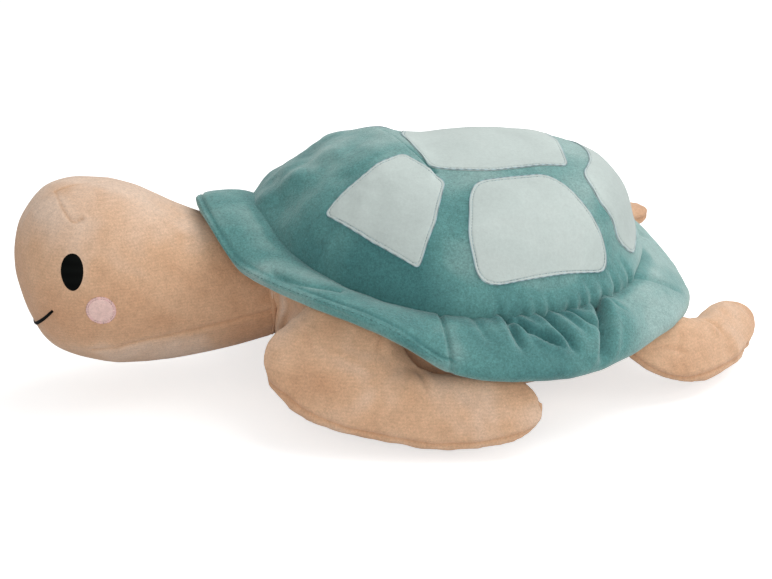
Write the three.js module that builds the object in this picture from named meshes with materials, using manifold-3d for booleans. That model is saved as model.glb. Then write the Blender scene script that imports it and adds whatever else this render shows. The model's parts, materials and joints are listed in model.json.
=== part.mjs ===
// Stuffed sea turtle lying on its belly, with its head out under a padded shell.
// Millimetres. +X runs to the tail, -Y is the turtle's left side and +Z is up.
// Every cloth panel is a thin solid, and the stuffing it holds is a solid of its own.

import * as THREE from 'three';
import { mergeVertices } from 'three/addons/utils/BufferGeometryUtils.js';
import Module from 'manifold-3d';

const wasm = await Module();
wasm.setup();

// Cloth and clearances
const clothThickness = 2.4;
const trimThickness = 1.5;
const seatGap = 0.3;
const swingGap = 0.6;
const wideSwingGap = 3;
const neckGap = 1.2;
const frontEdgeRelief = 9;

// Body seen from above, out to the crease where the padded rim is sewn on
const bodyMiddle = 49;
const bodyHalfLength = 159;
const bodyHalfWidth = 145;
const bodyFrontSquareness = 1.8;
const bodyRearSquareness = 2.05;

// Heights along X of the crease and of the dome's middle line above it
const creaseHeights = [[-110, 149], [-98, 131], [-84, 119], [-46, 101], [0, 92], [60, 85], [110, 82],
  [160, 83], [192, 90], [208, 92]];
const ridgeHeights = [[-110, 150], [-93, 165], [-77, 179], [-36, 196], [-2, 201], [30, 194], [75, 196],
  [122, 193], [147, 188], [167, 181], [182, 171], [196, 154], [208, 130]];
const domeFullness = 1;
const bellyFullness = 0.62;
const bellyDip = 1;
const chestLift = 26;

// Padded rim: its outer edge from above, then the height of that edge along X
const rimMiddle = 49.5;
const rimHalfLength = 204.5;
const rimHalfWidth = 187;
const rimFrontSquareness = 1.6;
const rimRearSquareness = 1.75;
const rimEdgeHeights = [[-155, 151], [-149, 143], [-134, 122], [-126, 115], [-106, 110], [-46, 98], [-19, 87],
  [13, 68], [62, 59], [111, 55], [150, 57], [190, 62], [230, 58], [264, 50]];
const rimHalfThickness = 11;
const collarHalfThickness = 7.5;
const collarArch = 1;
const rimSeat = 8;
const rimSeamX = 16;
const rimMargin = 12;
const farRimLift = 42;
const farRimLiftStart = -8;
const farRimLiftFull = 34;
const farRimLiftEnd = 110;

// Head and neck
const headMiddle = -222;
const headLength = 76;
const headRadius = 73.5;
const headSquareness = 2.4;
const headPlanSquareness = 2.15;
const headHalfWidth = 71.5;
const neckHalfWidth = 43.5;
const noseShare = 0.5;
const headRise = 15;
const headRisePower = 1.9;
const neckEnd = -96;
const neckRadius = 44.4;
const neckHeight = 82;
const neckTaper = 1.15;

// Ball of stuffing that the neck turns and nods on
const neckPivotX = -78;
const neckBallRadius = 48;
const headTurn = 12;
const headNodDown = 12;
const headNodUp = 3;

// Seam of the lower head panel along X and Z, from the neck to the chin
const gussetSeam = [[-90, 71], [-147, 66], [-208, 59], [-240, 52], [-262, 36], [-276, 8]];

// Face: eye and cheek by the place of their middle and the way they face
const eye = { width: 18, height: 29, at: [-252, -66, 120], facing: [-0.26, -0.95, 0.17] };
const cheek = { width: 23, height: 23, at: [-232, -70, 90], facing: [-0.1, -0.98, -0.17] };
const smileRadius = 74.5;
const smileHeight = 136;
const smileStroke = 2.8;
const smileHalfAngle = 48.5;

// Shell patches: place, way they face, and corners to the right and up as seen from there
const topPatch = {
  at: [78, 0, 190],
  facing: [0, -0.01, 1],
  corner: 7,
  corners: [[-53, -55], [-35, -60], [-5, -67], [59, -53], [63, 0], [59, 53], [-5, 67], [-35, 60], [-53, 55],
    [-66, 0]],
};
const frontPatch = {
  at: [-6, -70, 169],
  facing: [-0.19, -0.48, 0.86],
  corner: 5,
  corners: [[-49, -27], [-15, 19], [2, 36], [21, 26], [38, 14], [37, -30], [29, -64], [-10, -49]],
};
const sidePatch = {
  at: [102, -96, 149],
  facing: [0.22, -0.68, 0.7],
  corner: 9,
  corners: [[-38, 44], [-50, 31], [-65, -2], [-67, -34], [-56, -43], [44, -47], [51, -36], [49, -18],
    [34, 21], [20, 38]],
};
const rearPatch = {
  at: [185, 0, 150],
  facing: [0.8, 0, 0.6],
  corner: 8,
  corners: [[-34, 38], [-58, 43], [-76, 25], [-84, -8], [-76, -32], [76, -32], [84, -8], [76, 25], [58, 43],
    [34, 38]],
};

// Flippers, flat outlines from the middle of the root, outward is -Y and the tail is +X
const frontFlipper = {
  root: [-58, -110, 90],
  yaw: -18,
  slope: 8,
  tilt: 52,
  halfThickness: 16,
  heart: [20, -50],
  outline: [[-14, 12], [-33, -11], [-44, -29], [-46, -50], [-20, -77], [18, -89], [63, -90], [107, -87],
    [149, -71], [163, -50], [142, -32], [108, -27], [75, -28], [55, -12], [44, 8]],
  range: [-8, 6],
};
const rearFlipper = {
  root: [182, -92, 60],
  yaw: 40,
  slope: 0,
  tilt: 42,
  halfThickness: 15,
  heart: [45, -38],
  outline: [[-24, 8], [-27, -19], [-15, -43], [14, -64], [43, -72], [76, -73], [110, -68], [141, -56],
    [150, -42], [139, -26], [110, -18], [75, -16], [45, -6], [22, 8]],
  range: [-10, 8],
};
const raisedFlipper = { ...rearFlipper, yaw: -28, tilt: -5, range: [-40, 4] };
const flipperFullness = 0.9;

// Mesh density
const bodyFacets = [28, 14];
const rimFacets = [6, 36];
const headFacets = [20, 12];
const flipperFacets = [20, 6];
const neckFacets = [30, 16];
const ovalSides = 12;
const smileSides = 8;
const creaseStep = 16;

// Pockets for the flippers: close ones in the cloth every few degrees, and in the stuffing a few wide ones,
// swollen to clear a root that reaches this far from the hinge
const swingStep = 3;
const wideSwingStep = 19;
const wideSwingMargin = 2;
const wideSwingSpread = 0.2;
const rootReach = 40;

// Cutting blocks and prisms reach past everything they cut
const reachAll = 500;
const faceDepth = 20;
const patchDepth = 60;

const degrees = THREE.MathUtils.degToRad;

// Geometry helpers

function welded(geometry) {
  geometry.deleteAttribute('normal');
  geometry.deleteAttribute('uv');
  return mergeVertices(geometry, 1e-5);
}

function warped(geometry, place) {
  const positions = geometry.attributes.position;
  const point = new THREE.Vector3();
  for (let i = 0; i < positions.count; i += 1) {
    point.fromBufferAttribute(positions, i);
    place(point);
    positions.setXYZ(i, point.x, point.y, point.z);
  }
  return geometry;
}

function unitBall([around, rings]) {
  const geometry = new THREE.SphereGeometry(1, around, rings);
  geometry.rotateX(Math.PI / 2);
  return welded(geometry);
}

function inset(geometry, depth) {
  const moved = geometry.clone();
  moved.computeVertexNormals();
  const normals = moved.attributes.normal;
  const positions = moved.attributes.position;
  for (let i = 0; i < positions.count; i += 1) {
    positions.setXYZ(
      i,
      positions.getX(i) - normals.getX(i) * depth,
      positions.getY(i) - normals.getY(i) * depth,
      positions.getZ(i) - normals.getZ(i) * depth,
    );
  }
  moved.deleteAttribute('normal');
  return moved;
}

function mirrored(geometry) {
  const copy = geometry.clone().scale(1, -1, 1);
  const index = copy.index.array;
  for (let i = 0; i < index.length; i += 3) {
    [index[i], index[i + 1]] = [index[i + 1], index[i]];
  }
  return copy;
}

function solid(geometry) {
  return new wasm.Manifold(new wasm.Mesh({
    numProp: 3,
    vertProperties: new Float32Array(geometry.attributes.position.array),
    triVerts: new Uint32Array(geometry.index.array),
  }));
}

function geometryOf(manifold) {
  const mesh = manifold.getMesh();
  const geometry = new THREE.BufferGeometry();
  geometry.setAttribute('position', new THREE.BufferAttribute(mesh.vertProperties, mesh.numProp));
  geometry.setIndex(new THREE.BufferAttribute(mesh.triVerts, 1));
  return geometry;
}

function block(low, high) {
  const size = high.map((value, i) => value - low[i]);
  const centre = high.map((value, i) => (value + low[i]) / 2);
  return solid(welded(new THREE.BoxGeometry(...size).translate(...centre)));
}

function profile(stations) {
  const places = stations.map(([place]) => place);
  const values = stations.map(([, value]) => value);
  const curve = new THREE.CubicInterpolant(places, values, 1);
  return (place) => curve.evaluate(THREE.MathUtils.clamp(place, places[0], places.at(-1)))[0];
}

function between(value, from, to) {
  return THREE.MathUtils.clamp((value - from) / (to - from), 0, 1);
}

function ovalReach(angle, frontSquareness, rearSquareness) {
  const squareness = Math.cos(angle) < 0 ? frontSquareness : rearSquareness;
  const sum = Math.abs(Math.cos(angle)) ** squareness + Math.abs(Math.sin(angle)) ** squareness;
  return sum ** (-1 / squareness);
}

// Body and dome: one closed form whose widest ring is the crease

const creaseHeight = profile(creaseHeights);
const ridgeHeight = profile(ridgeHeights);

function bellyHeight(x) {
  const forward = Math.max(0, (bodyMiddle - x) / bodyHalfLength);
  return chestLift * forward ** 4 - bellyDip;
}

function bodyHalfWidthAt(x) {
  const along = Math.abs(x - bodyMiddle) / bodyHalfLength;
  const squareness = x < bodyMiddle ? bodyFrontSquareness : bodyRearSquareness;
  return bodyHalfWidth * Math.max(0, 1 - along ** squareness) ** (1 / squareness);
}

function placeOnBody(point) {
  const angle = Math.atan2(point.y, point.x);
  const reach = Math.hypot(point.x, point.y) * ovalReach(angle, bodyFrontSquareness, bodyRearSquareness);
  const height = Math.abs(point.z);
  const isDome = point.z >= 0;
  point.x = bodyMiddle + bodyHalfLength * reach * Math.cos(angle);
  point.y = bodyHalfWidth * reach * Math.sin(angle);
  const crease = creaseHeight(point.x);
  if (isDome) {
    const halfWidth = bodyHalfWidthAt(point.x);
    const sideways = halfWidth > 0 ? Math.min(1, Math.abs(point.y) / halfWidth) : 0;
    const arch = Math.sqrt(1 - sideways ** 2) ** domeFullness;
    point.z = crease + (ridgeHeight(point.x) - crease) * arch;
  } else {
    point.z = crease - (crease - bellyHeight(point.x)) * height ** bellyFullness;
  }
}

const bodyForm = warped(unitBall(bodyFacets), placeOnBody);

// Rim: a flattened padded tube swept around the crease

const rimEdgeHeight = profile(rimEdgeHeights);

function rimStation(angle) {
  const creaseReach = ovalReach(angle, bodyFrontSquareness, bodyRearSquareness);
  const edgeReach = ovalReach(angle, rimFrontSquareness, rimRearSquareness);
  const crease = new THREE.Vector3(
    bodyMiddle + bodyHalfLength * creaseReach * Math.cos(angle),
    bodyHalfWidth * creaseReach * Math.sin(angle),
    0,
  );
  crease.z = creaseHeight(crease.x);
  const edge = new THREE.Vector3(
    rimMiddle + rimHalfLength * edgeReach * Math.cos(angle),
    rimHalfWidth * edgeReach * Math.sin(angle),
    0,
  );
  const rising = THREE.MathUtils.smoothstep(angle, degrees(farRimLiftStart), degrees(farRimLiftFull));
  const falling = THREE.MathUtils.smoothstep(angle, degrees(farRimLiftFull), degrees(farRimLiftEnd));
  edge.z = rimEdgeHeight(edge.x) + farRimLift * (rising - falling);
  const outward = new THREE.Vector3().subVectors(edge, crease).normalize();
  const upward = new THREE.Vector3(0, 0, 1).addScaledVector(outward, -outward.z).normalize();
  const inner = crease.clone().addScaledVector(outward, -rimSeat);
  const forward = between(edge.x, rimSeamX, rimMiddle - rimHalfLength);
  return {
    middle: inner.clone().lerp(edge, 0.5),
    halfWidth: inner.distanceTo(edge) / 2,
    halfThickness: THREE.MathUtils.lerp(rimHalfThickness, collarHalfThickness, forward),
    arch: collarArch * forward,
    outward,
    upward,
  };
}

function rimRing(trace) {
  const ring = welded(new THREE.TorusGeometry(2, 1, ...rimFacets));
  return warped(ring, (point) => {
    const station = rimStation(Math.atan2(point.y, point.x));
    const turn = Math.atan2(point.z, Math.hypot(point.x, point.y) - 2);
    const { across, through } = trace(turn, station);
    const arch = station.arch * Math.sin(turn) ** 2;
    point.copy(station.middle)
      .addScaledVector(station.outward, across)
      .addScaledVector(station.upward, through + arch);
  });
}

function rimTube(depth) {
  return solid(rimRing((turn, { halfWidth, halfThickness }) => ({
    across: Math.cos(turn) * (halfWidth - depth),
    through: Math.sin(turn) * (halfThickness - depth),
  })));
}

function upperHalfOfRim(rise) {
  return solid(rimRing((turn, { halfWidth, halfThickness, arch }) => ({
    across: Math.cos(turn) * (halfWidth + rimMargin),
    through: turn > 0 ? Math.sin(turn) * (halfThickness + rimMargin) : rise - arch * Math.sin(turn) ** 2,
  })));
}

// Head and neck: a rounded front that tapers back to the neck seam

function neckShare(x) {
  return (neckEnd - x) / (neckEnd - headMiddle);
}

function headReach(x, fullReach, neckReach, squareness) {
  if (x < headMiddle) {
    const forward = Math.min(1, (headMiddle - x) / headLength);
    return fullReach * (1 - forward ** squareness) ** (1 / squareness);
  }
  return fullReach - (fullReach - neckReach) * (1 - neckShare(x)) ** neckTaper;
}

function headAxis(x) {
  return neckHeight + headRise * neckShare(x) ** headRisePower;
}

function placeOnHead(point) {
  const fromNose = Math.acos(THREE.MathUtils.clamp(point.z, -1, 1)) / Math.PI;
  const angle = Math.atan2(point.y, point.x);
  const lastRing = 1 - 1 / headFacets[1];
  const isFace = fromNose < noseShare;
  const back = Math.min(1, (fromNose - noseShare) / (lastRing - noseShare));
  point.x = isFace
    ? headMiddle - headLength * Math.cos(fromNose / noseShare * Math.PI / 2)
    : THREE.MathUtils.lerp(headMiddle, neckEnd, back);
  const open = fromNose > lastRing + 0.01 ? 0 : 1;
  const halfWidth = open * headReach(point.x, headHalfWidth, neckHalfWidth, headPlanSquareness);
  const halfHeight = open * headReach(point.x, headRadius, neckRadius, headSquareness);
  point.y = -halfWidth * Math.sin(angle);
  point.z = headAxis(point.x) - halfHeight * Math.cos(angle);
}

const headForm = warped(unitBall(headFacets), placeOnHead);

// Flippers: a flat padded outline set at the body's side by its root

function flipperForm(flipper) {
  const corners = flipper.outline.map(([x, y]) => new THREE.Vector3(x, y, 0));
  const outline = new THREE.CatmullRomCurve3(corners, true, 'centripetal');
  const heart = new THREE.Vector3(...flipper.heart, 0);
  return warped(unitBall(flipperFacets), (point) => {
    const turn = THREE.MathUtils.euclideanModulo(Math.atan2(point.y, point.x) / (2 * Math.PI), 1);
    const reach = Math.hypot(point.x, point.y);
    const height = flipper.halfThickness * Math.sign(point.z) * Math.abs(point.z) ** flipperFullness;
    point.copy(heart).lerp(outline.getPointAt(turn), reach);
    point.z = height;
  });
}

function flipperPlace(flipper) {
  return new THREE.Matrix4()
    .makeTranslation(...flipper.root)
    .multiply(new THREE.Matrix4().makeRotationZ(degrees(flipper.yaw)))
    .multiply(new THREE.Matrix4().makeRotationY(degrees(flipper.slope)))
    .multiply(new THREE.Matrix4().makeRotationX(degrees(flipper.tilt)));
}

function flipperParts(flipper) {
  const flat = flipperForm(flipper);
  const skin = solid(flat).subtract(solid(inset(flat, clothThickness)));
  const place = (manifold) => geometryOf(manifold).applyMatrix4(flipperPlace(flipper));
  const half = seatGap / 2;
  return {
    top: place(skin.intersect(block([-reachAll, -reachAll, half], [reachAll, reachAll, reachAll]))),
    bottom: place(skin.intersect(block([-reachAll, -reachAll, -reachAll], [reachAll, reachAll, -half]))),
    stuffing: place(solid(inset(flat, clothThickness + seatGap))),
  };
}

function swungFlipper(flipper, angle, gap) {
  return inset(flipperForm(flipper), -gap).rotateX(degrees(-angle)).applyMatrix4(flipperPlace(flipper));
}

function closeRoom(flipper) {
  const [lowest, highest] = flipper.range;
  const steps = Math.ceil((highest - lowest) / swingStep);
  const angles = Array.from({ length: steps + 1 }, (_, i) => lowest + (highest - lowest) * i / steps);
  return [...angles, 0].map((angle) => swungFlipper(flipper, angle, swingGap));
}

function wideRoom(flipper) {
  const lowest = flipper.range[0] - wideSwingMargin;
  const highest = flipper.range[1] + wideSwingMargin;
  const count = Math.ceil((highest - lowest) / wideSwingStep);
  const step = (highest - lowest) / count;
  const swell = rootReach * Math.sin(degrees(step) / 2);
  const swollen = { ...flipper, halfThickness: flipper.halfThickness + swell };
  return Array.from({ length: count }, (_, i) => (
    swungFlipper(swollen, lowest + step * (i + 0.5), wideSwingGap + wideSwingSpread * i)));
}

// Cutters

function wallBeside(path, lift, height) {
  const shape = new THREE.Shape();
  path.forEach(([x, z], i) => (i === 0 ? shape.moveTo(x, z + lift) : shape.lineTo(x, z + lift)));
  shape.lineTo(path.at(-1)[0], height);
  shape.lineTo(path[0][0], height);
  const geometry = new THREE.ExtrudeGeometry(shape, { depth: 2 * reachAll, bevelEnabled: false });
  return welded(geometry.rotateX(Math.PI / 2).translate(0, reachAll, 0));
}

function roundedShape(corners, radius) {
  const points = corners.map(([x, y]) => new THREE.Vector2(x, y));
  const shape = new THREE.Shape();
  points.forEach((corner, i) => {
    const before = points.at(i - 1);
    const after = points[(i + 1) % points.length];
    const enter = corner.clone().lerp(before, Math.min(0.5, radius / corner.distanceTo(before)));
    const leave = corner.clone().lerp(after, Math.min(0.5, radius / corner.distanceTo(after)));
    if (i === 0) {
      shape.moveTo(enter.x, enter.y);
    } else {
      shape.lineTo(enter.x, enter.y);
    }
    shape.quadraticCurveTo(corner.x, corner.y, leave.x, leave.y);
  });
  return shape;
}

function facingPrism(shape, at, facing, depth) {
  const outward = new THREE.Vector3(...facing).normalize();
  const right = new THREE.Vector3(-outward.y, outward.x, 0).normalize();
  const up = new THREE.Vector3().crossVectors(outward, right);
  const sides = { depth: 2 * depth, bevelEnabled: false, curveSegments: 2 };
  const geometry = new THREE.ExtrudeGeometry(shape, sides);
  geometry.translate(0, 0, -depth);
  geometry.applyMatrix4(new THREE.Matrix4().makeBasis(right, up, outward).setPosition(...at));
  return welded(geometry);
}

// Panels

const parts = new THREE.Group();

function add(name, geometry, cloth) {
  const mesh = new THREE.Mesh(geometry, new THREE.MeshStandardMaterial(cloth));
  mesh.name = name;
  parts.add(mesh);
}

function joined(geometries) {
  return geometries.map(solid).reduce((sum, next) => sum.add(next));
}

const sandPlush = { color: '#cba183', roughness: 0.95, metalness: 0 };
const sealPlush = { color: '#6fa09d', roughness: 0.95, metalness: 0 };
const palePlush = { color: '#c6d2cd', roughness: 0.9, metalness: 0 };
const pinkCloth = { color: '#d8b4ac', roughness: 0.9, metalness: 0 };
const blackThread = { color: '#0f110f', roughness: 0.6, metalness: 0 };
const fibrefill = { color: '#eceae4', roughness: 1, metalness: 0 };

// Flippers

const flippers = {
  front_left: { ...frontFlipper, isMirrored: false },
  front_right: { ...frontFlipper, isMirrored: true },
  rear_left: { ...rearFlipper, isMirrored: false },
  rear_right: { ...raisedFlipper, isMirrored: true },
};
const swingRooms = [];
const wideSwingRooms = [];
for (const [corner, flipper] of Object.entries(flippers)) {
  const onSide = (geometry) => (flipper.isMirrored ? mirrored(geometry) : geometry);
  const { top, bottom, stuffing } = flipperParts(flipper);
  add(`${corner}_flipper_top`, onSide(top), sandPlush);
  add(`${corner}_flipper_bottom`, onSide(bottom), sandPlush);
  add(`${corner}_flipper_stuffing`, onSide(stuffing), fibrefill);
  swingRooms.push(...closeRoom(flipper).map(onSide));
  wideSwingRooms.push(...wideRoom(flipper).map(onSide));
}

// Head, its face and the ball in its neck

const neckPivot = [neckPivotX, 0, neckHeight];

function neckBall(radius) {
  const ball = new THREE.SphereGeometry(radius, ...neckFacets).rotateX(Math.PI / 2);
  return solid(welded(ball.translate(...neckPivot)));
}

function turned(geometry, nod, turn) {
  const [x, y, z] = neckPivot;
  return geometry.clone()
    .translate(-x, -y, -z)
    .rotateY(degrees(nod))
    .rotateZ(degrees(turn))
    .translate(x, y, z);
}

const neckSocket = neckBall(neckBallRadius + swingGap);
const headSkin = solid(headForm).subtract(solid(inset(headForm, clothThickness))).subtract(neckSocket);
const gussetLine = [...gussetSeam, [-reachAll, gussetSeam.at(-1)[1]]];
const headUpper = solid(wallBeside(gussetLine, seatGap / 2, reachAll));
const headLower = solid(wallBeside(gussetLine, -seatGap / 2, -reachAll));
const leftSide = block([-reachAll, -reachAll, -reachAll], [reachAll, -seatGap / 2, reachAll]);
const rightSide = block([-reachAll, seatGap / 2, -reachAll], [reachAll, reachAll, reachAll]);
add('head_skin_left', geometryOf(headSkin.intersect(headUpper).intersect(leftSide)), sandPlush);
add('head_skin_right', geometryOf(headSkin.intersect(headUpper).intersect(rightSide)), sandPlush);
add('head_gusset', geometryOf(headSkin.intersect(headLower)), sandPlush);
const headStuffing = solid(inset(headForm, clothThickness + seatGap)).subtract(neckSocket);
add('head_stuffing', geometryOf(headStuffing), fibrefill);
add('neck_stuffing', geometryOf(neckBall(neckBallRadius)), fibrefill);

const onHead = solid(inset(headForm, -seatGap - trimThickness)).subtract(solid(inset(headForm, -seatGap)));
for (const [name, feature, cloth] of [['eye', eye, blackThread], ['cheek', cheek, pinkCloth]]) {
  const oval = new THREE.Shape();
  oval.absellipse(0, 0, feature.width / 2, feature.height / 2, 0, 2 * Math.PI);
  const shape = new THREE.Shape(oval.getPoints(ovalSides / 2));
  const prism = facingPrism(shape, feature.at, feature.facing, faceDepth);
  add(`${name}_left`, geometryOf(onHead.intersect(solid(prism))), cloth);
  add(`${name}_right`, geometryOf(onHead.intersect(solid(mirrored(prism)))), cloth);
}

const smile = new THREE.Shape();
const smileStart = degrees(-90 - smileHalfAngle);
const smileStop = degrees(-90 + smileHalfAngle);
smile.absarc(0, 0, smileRadius + smileStroke / 2, smileStart, smileStop, false);
smile.absarc(0, 0, smileRadius - smileStroke / 2, smileStop, smileStart, true);
const smileShape = new THREE.Shape(smile.getPoints(smileSides));
const smileAt = [headMiddle - headLength, 0, smileHeight];
const smilePrism = facingPrism(smileShape, smileAt, [-1, 0, 0], headLength / 2);
add('mouth_smile', geometryOf(onHead.intersect(solid(smilePrism))), blackThread);

// Body, with pockets for the flippers and the neck to swing in

const sweepTurns = [-1, -0.5, 0, 0.5, 1].map((share) => share * headTurn);
const headSweep = [-headNodDown, headNodUp]
  .flatMap((nod) => sweepTurns.map((turn) => turned(inset(headForm, -neckGap), nod, turn)));
const rooms = joined([...headSweep, ...swingRooms]).add(neckSocket);
const wideRooms = joined([...headSweep, ...wideSwingRooms]).add(neckSocket);
const creaseLine = [];
for (let x = creaseHeights[0][0]; x <= creaseHeights.at(-1)[0]; x += creaseStep) {
  creaseLine.push([x, creaseHeight(x)]);
}
creaseLine.unshift([-reachAll, creaseLine[0][1]]);
creaseLine.push([reachAll, creaseLine.at(-1)[1]]);
const aboveGround = block([-reachAll, -reachAll, 0], [reachAll, reachAll, reachAll]);
const bodySkin = solid(bodyForm).subtract(solid(inset(bodyForm, clothThickness)));
const domeSkin = bodySkin.intersect(solid(wallBeside(creaseLine, seatGap / 2, reachAll))).subtract(rooms);
const bellySkin = bodySkin.intersect(solid(wallBeside(creaseLine, -seatGap / 2, -reachAll))).subtract(rooms);
add('dome_skin', geometryOf(domeSkin), sealPlush);
add('belly_skin', geometryOf(bellySkin.intersect(aboveGround)), sandPlush);
const bodyFront = bodyMiddle - bodyHalfLength;
const behindFrontEdge = block(
  [bodyFront + frontEdgeRelief, -reachAll, -reachAll],
  [reachAll, reachAll, reachAll],
);
const bodyStuffing = solid(inset(bodyForm, clothThickness + seatGap)).subtract(wideRooms);
add('body_stuffing', geometryOf(bodyStuffing.intersect(behindFrontEdge)), fibrefill);

// Pale patches sewn on the dome

const onDome = solid(inset(bodyForm, -seatGap - trimThickness)).subtract(solid(inset(bodyForm, -seatGap)));

function patchPiece({ at, facing, corner, corners }, isMirrored) {
  const prism = facingPrism(roundedShape(corners, corner), at, facing, patchDepth);
  return geometryOf(onDome.intersect(solid(isMirrored ? mirrored(prism) : prism)));
}

add('patch_top', patchPiece(topPatch, false), palePlush);
add('patch_rear', patchPiece(rearPatch, false), palePlush);
for (const [name, patch] of [['patch_front', frontPatch], ['patch_side', sidePatch]]) {
  add(`${name}_left`, patchPiece(patch, false), palePlush);
  add(`${name}_right`, patchPiece(patch, true), palePlush);
}

// Padded rim in a front and a rear length, each a top panel, an under panel and wadding

const rimBed = solid(inset(bodyForm, -seatGap)).add(joined([...headSweep, ...swingRooms]));
const rimSkin = rimTube(0).subtract(rimTube(clothThickness));
const frontLength = block([-reachAll, -reachAll, -reachAll], [rimSeamX - seatGap / 2, reachAll, reachAll]);
const rearLength = block([rimSeamX + seatGap / 2, -reachAll, -reachAll], [reachAll, reachAll, reachAll]);
for (const [name, ring, cloth] of [
  ['top', rimSkin.intersect(upperHalfOfRim(seatGap / 2)), sealPlush],
  ['under', rimSkin.subtract(upperHalfOfRim(-seatGap / 2)), sealPlush],
  ['wadding', rimTube(clothThickness + seatGap), fibrefill],
]) {
  const seated = ring.subtract(rimBed);
  add(`rim_front_${name}`, geometryOf(seated.intersect(frontLength)), cloth);
  add(`rim_rear_${name}`, geometryOf(seated.intersect(rearLength)), cloth);
}

// The origin lies under the middle of the toy

const box = new THREE.Box3().setFromObject(parts);
const middle = box.getCenter(new THREE.Vector3());
parts.position.set(-middle.x, -middle.y, -box.min.z);

export default parts;
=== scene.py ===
"""A stuffed sea turtle as plush: velour shell, padded rim, head, flippers, patches and embroidery.

Lengths in the tables are millimetres in the toy's own axes: +X to the tail, -Y its left side, +Z up.
"""
import json
import math

import bpy
import numpy as np
from mathutils import Matrix, Vector, noise
from mathutils.bvhtree import BVHTree
from mathutils.kdtree import KDTree

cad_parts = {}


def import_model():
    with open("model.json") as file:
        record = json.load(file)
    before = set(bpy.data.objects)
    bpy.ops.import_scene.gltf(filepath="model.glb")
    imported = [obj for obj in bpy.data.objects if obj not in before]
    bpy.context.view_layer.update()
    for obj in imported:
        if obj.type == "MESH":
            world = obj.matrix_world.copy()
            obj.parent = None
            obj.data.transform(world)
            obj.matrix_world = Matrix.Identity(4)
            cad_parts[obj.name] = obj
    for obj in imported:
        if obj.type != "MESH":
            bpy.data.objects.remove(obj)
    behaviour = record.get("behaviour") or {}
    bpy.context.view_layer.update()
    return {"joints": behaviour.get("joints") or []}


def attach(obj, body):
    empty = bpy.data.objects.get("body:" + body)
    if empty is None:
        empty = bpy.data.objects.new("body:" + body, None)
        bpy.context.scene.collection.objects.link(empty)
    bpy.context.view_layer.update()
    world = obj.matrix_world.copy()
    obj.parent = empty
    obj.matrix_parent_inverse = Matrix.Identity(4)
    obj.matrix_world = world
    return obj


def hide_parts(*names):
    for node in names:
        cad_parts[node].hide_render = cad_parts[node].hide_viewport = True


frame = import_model()

MM = 0.001
NECK_PIVOT = np.array([-78.0, 0.0, 82.0])
joint_at = next(j for j in frame["joints"] if j["name"] == "neck_turn")["pos_m"]
ORIGIN = np.array(joint_at) - NECK_PIVOT * MM

# Body and dome
BODY_MIDDLE, BODY_HALF_LENGTH, BODY_HALF_WIDTH = 49, 159, 145
BODY_SQUARENESS = (1.8, 2.05)
CREASE_HEIGHTS = [(-110, 149), (-98, 131), (-84, 119), (-46, 101), (0, 92), (60, 85), (110, 82), (160, 83),
                  (192, 90), (208, 92)]
RIDGE_HEIGHTS = [(-110, 150), (-93, 165), (-77, 179), (-36, 196), (-2, 201), (30, 194), (75, 196), (122, 193),
                 (147, 188), (167, 181), (182, 171), (196, 154), (208, 130)]
BELLY_FULLNESS, BELLY_DIP, CHEST_LIFT = 0.62, 1, 26

# Padded rim
RIM_MIDDLE, RIM_HALF_LENGTH, RIM_HALF_WIDTH = 49.5, 204.5, 187
RIM_SQUARENESS = (1.6, 1.75)
RIM_EDGE_HEIGHTS = [(-155, 151), (-149, 143), (-134, 122), (-126, 115), (-106, 110), (-46, 98), (-19, 87),
                    (13, 68), (62, 59), (111, 55), (150, 57), (190, 62), (230, 58), (264, 50)]
RIM_HALF_THICKNESS, COLLAR_HALF_THICKNESS, COLLAR_ARCH, RIM_SEAT = 11, 7.5, 1, 8
RIM_SEAM_X = 16
FAR_LIFT, FAR_LIFT_START, FAR_LIFT_FULL, FAR_LIFT_END = 42, -8, 34, 110

# Head and neck
HEAD_MIDDLE, HEAD_LENGTH, HEAD_RADIUS, HEAD_HALF_WIDTH = -222, 76, 73.5, 71.5
HEAD_SQUARENESS, HEAD_PLAN_SQUARENESS = 2.4, 2.15
NECK_END, NECK_RADIUS, NECK_HALF_WIDTH, NECK_HEIGHT = -96, 45.2, 44.3, 82
HEAD_RISE, HEAD_RISE_POWER, NECK_TAPER = 15, 1.9, 1.15
SOCKET_RADIUS, CHEST_BALL_RADIUS = 49.4, 48.3

GUSSET_SEAM = [(-99, 71), (-147, 66), (-208, 59), (-240, 52), (-262, 36)]
TOP_SEAM = [(-262, -17, 171), (-219, -1, 169), (-185, 7, 156), (-154, 12, 143), (-100, 14, 128)]
DART = [(-262, -17, 171), (-256, -39, 161), (-249, -49, 153), (-242, -46, 156)]

EYE = dict(width=18, height=29, at=(-252, -66, 120), facing=(-0.26, -0.95, 0.17))
CHEEK = dict(width=23, height=23, at=(-232, -70, 90), facing=(-0.1, -0.98, -0.17))
SMILE_RADIUS, SMILE_HEIGHT, SMILE_STROKE, SMILE_HALF_ANGLE = 74.5, 136, 2.8, 48.5

PATCHES = {
    "patch_top": dict(at=(78, 0, 190), facing=(0, -0.01, 1), corner=7, corners=[
        (-53, -55), (-35, -60), (-5, -67), (59, -53), (63, 0), (59, 53), (-5, 67), (-35, 60), (-53, 55),
        (-66, 0)]),
    "patch_front": dict(at=(-6, -70, 169), facing=(-0.19, -0.48, 0.86), corner=5, corners=[
        (-49, -27), (-15, 19), (2, 36), (21, 26), (38, 14), (37, -30), (29, -64), (-10, -49)]),
    "patch_side": dict(at=(102, -96, 149), facing=(0.22, -0.68, 0.7), corner=9, corners=[
        (-38, 44), (-50, 31), (-65, -2), (-67, -34), (-56, -43), (44, -47), (51, -36), (49, -18), (34, 21),
        (20, 38)]),
    "patch_rear": dict(at=(185, 0, 150), facing=(0.8, 0, 0.6), corner=8, corners=[
        (-34, 38), (-58, 43), (-76, 25), (-84, -8), (-76, -32), (76, -32), (84, -8), (76, 25), (58, 43),
        (34, 38)]),
}

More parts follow.
